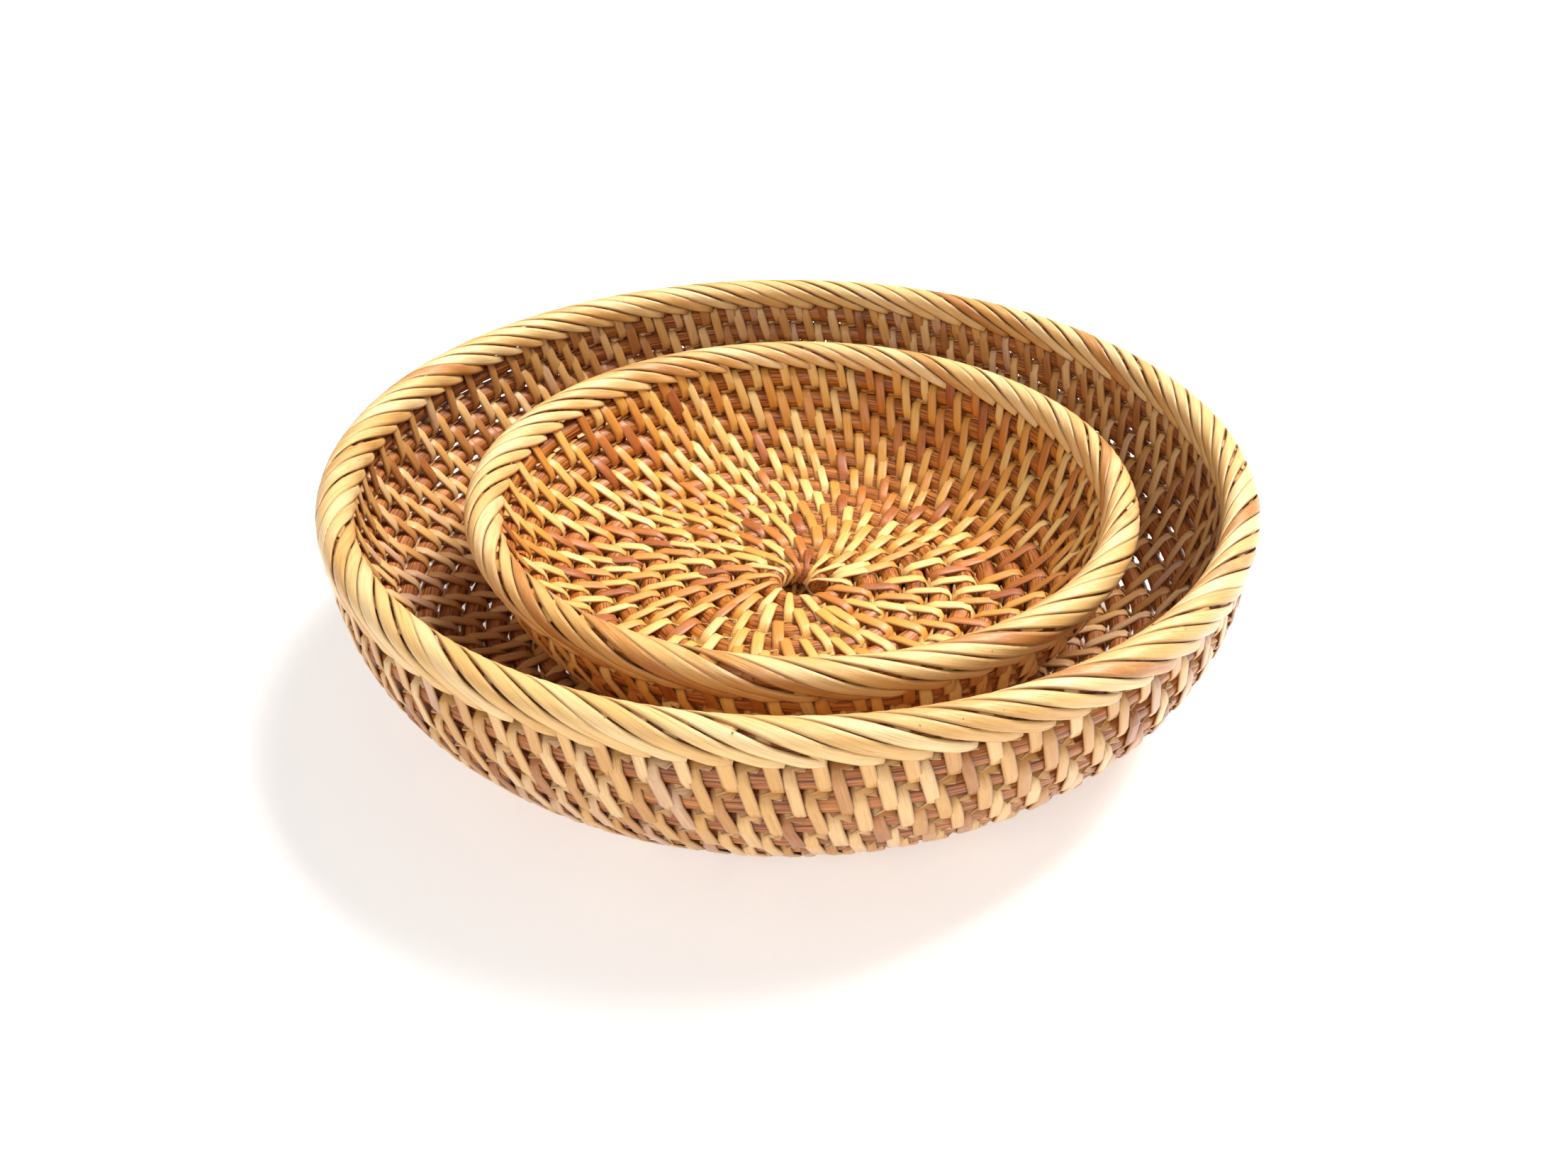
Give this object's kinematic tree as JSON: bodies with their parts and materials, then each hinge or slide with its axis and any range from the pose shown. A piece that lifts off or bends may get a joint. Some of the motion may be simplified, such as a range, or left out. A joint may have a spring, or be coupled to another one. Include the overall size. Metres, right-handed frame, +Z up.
{
  "type": "winnowing basket",
  "caption": "Shallow round coiled rattan tray with a smaller coiled bowl standing loose inside it, bound with cane stitches and wrapped at the rims.",
  "frame": {"origin": "bottom centre of the pair's bounding box, on the surface it stands on", "axes": "+Z up along the large basket's axis"},
  "size_m": [0.2796, 0.2796, 0.0696],
  "materials": {
    "rod_rattan_large": "satin",
    "rod_rattan_small": "satin",
    "stitch_cane_large": "satin",
    "stitch_cane_small": "satin",
    "rim_cane_large": "semi-gloss",
    "rim_cane_small": "semi-gloss"
  },
  "bodies": {
    "large_basket": {"large_base_rod": "rod_rattan_large", "large_rim_rod": "rod_rattan_large", "large_rim_wraps": "rim_cane_large", "large_stitches_turn_01": "stitch_cane_large", "large_stitches_turn_02": "stitch_cane_large", "large_stitches_turn_03": "stitch_cane_large", "large_stitches_turn_04": "stitch_cane_large", "large_stitches_turn_05": "stitch_cane_large", "large_stitches_turn_06": "stitch_cane_large", "large_stitches_turn_07": "stitch_cane_large", "large_stitches_turn_08": "stitch_cane_large", "large_stitches_turn_09": "stitch_cane_large", "large_stitches_turn_10": "stitch_cane_large", "large_stitches_turn_11": "stitch_cane_large", "large_stitches_turn_12": "stitch_cane_large", "large_stitches_turn_13": "stitch_cane_large", "large_stitches_turn_14": "stitch_cane_large", "large_stitches_turn_15": "stitch_cane_large", "large_stitches_turn_16": "stitch_cane_large", "large_stitches_turn_17": "stitch_cane_large", "large_stitches_turn_18": "stitch_cane_large", "large_stitches_turn_19": "stitch_cane_large", "large_stitches_turn_20": "stitch_cane_large", "large_stitches_turn_21": "stitch_cane_large", "large_tapered_rod_end": "rod_rattan_large", "large_wall_rod_1": "rod_rattan_large", "large_wall_rod_2": "rod_rattan_large", "large_wall_rod_3": "rod_rattan_large", "large_wall_rod_4": "rod_rattan_large", "large_wall_rod_5": "rod_rattan_large", "large_wall_rod_6": "rod_rattan_large"},
    "small_basket": {"small_base_rod": "rod_rattan_small", "small_rim_rod": "rod_rattan_small", "small_rim_wraps": "rim_cane_small", "small_stitches_turn_01": "stitch_cane_small", "small_stitches_turn_02": "stitch_cane_small", "small_stitches_turn_03": "stitch_cane_small", "small_stitches_turn_04": "stitch_cane_small", "small_stitches_turn_05": "stitch_cane_small", "small_stitches_turn_06": "stitch_cane_small", "small_stitches_turn_07": "stitch_cane_small", "small_stitches_turn_08": "stitch_cane_small", "small_stitches_turn_09": "stitch_cane_small", "small_stitches_turn_10": "stitch_cane_small", "small_stitches_turn_11": "stitch_cane_small", "small_stitches_turn_12": "stitch_cane_small", "small_stitches_turn_13": "stitch_cane_small", "small_stitches_turn_14": "stitch_cane_small", "small_tapered_rod_end": "rod_rattan_small", "small_wall_rod_1": "rod_rattan_small", "small_wall_rod_2": "rod_rattan_small", "small_wall_rod_3": "rod_rattan_small", "small_wall_rod_4": "rod_rattan_small"}
  },
  "joints": [
    {"name": "small_basket_lift", "type": "slide", "parent": "large_basket", "child": "small_basket", "axis": [0, 0, 1], "range_m": [0, 0.12]}
  ]
}
